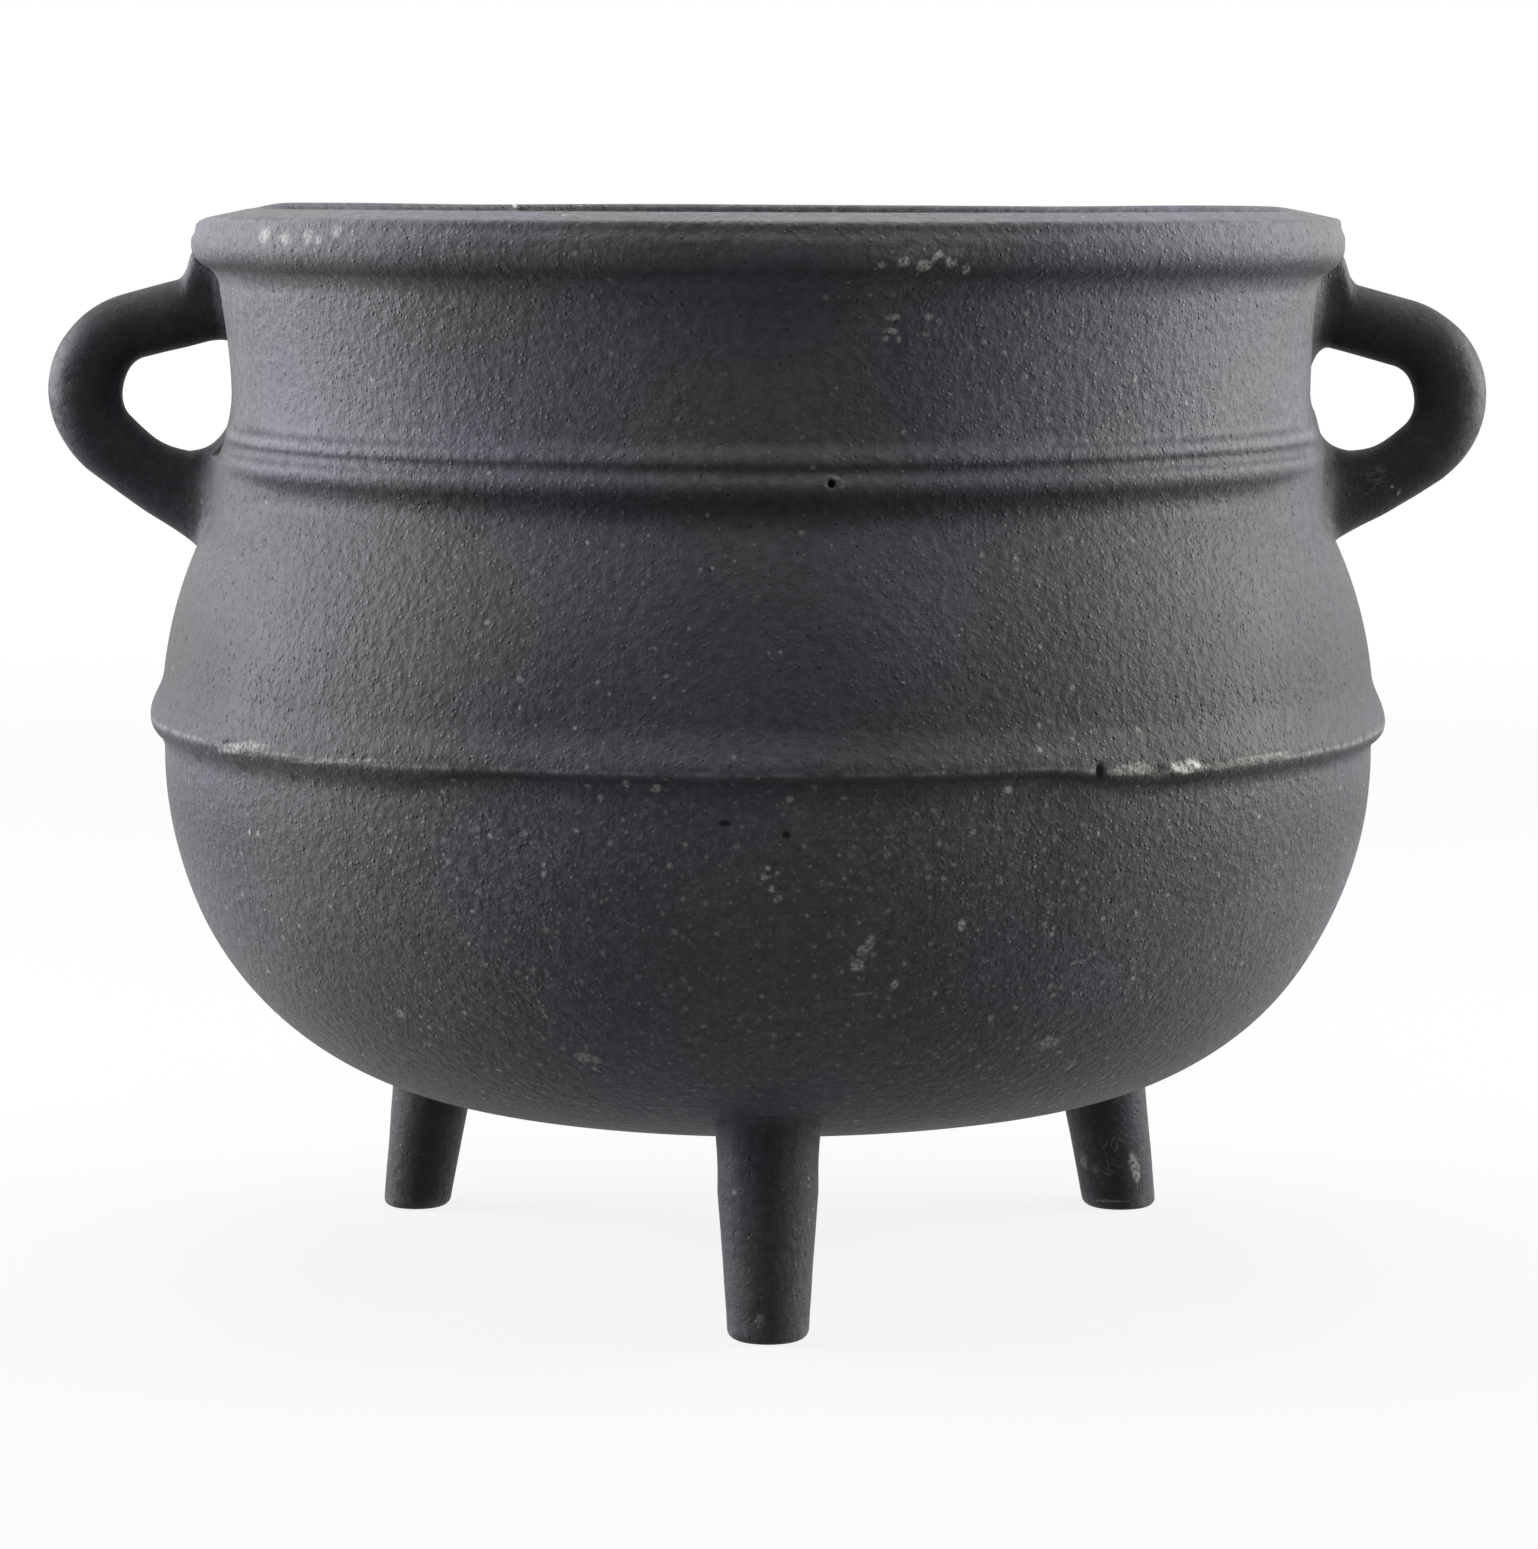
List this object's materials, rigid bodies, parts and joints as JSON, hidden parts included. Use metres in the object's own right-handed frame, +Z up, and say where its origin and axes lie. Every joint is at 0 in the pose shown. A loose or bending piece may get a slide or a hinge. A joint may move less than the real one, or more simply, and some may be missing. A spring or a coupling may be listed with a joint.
{
  "type": "cast iron cauldron",
  "caption": "Round-bellied cast iron pot with a beaded lip, a banded belly, splayed feet to stand on and fixed ears to hang or lift it by.",
  "frame": {"origin": "on the floor under the pot's axis, level with the flats of the feet", "axes": "+Z up along the pot's axis, +X towards the right ear, -Y towards the front foot"},
  "size_m": [0.2512, 0.216, 0.1844],
  "materials": {
    "pot_iron": "matt near-black sand-cast iron with a fine grain",
    "ear_iron": "matt near-black sand-cast iron, a little smoother from handling",
    "foot_iron": "matt near-black sand-cast iron, scuffed at the tips"
  },
  "bodies": {
    "root": {"pot_body": "pot_iron", "left_ear": "ear_iron", "right_ear": "ear_iron", "front_foot": "foot_iron", "rear_left_foot": "foot_iron", "rear_right_foot": "foot_iron"}
  },
  "joints": []
}
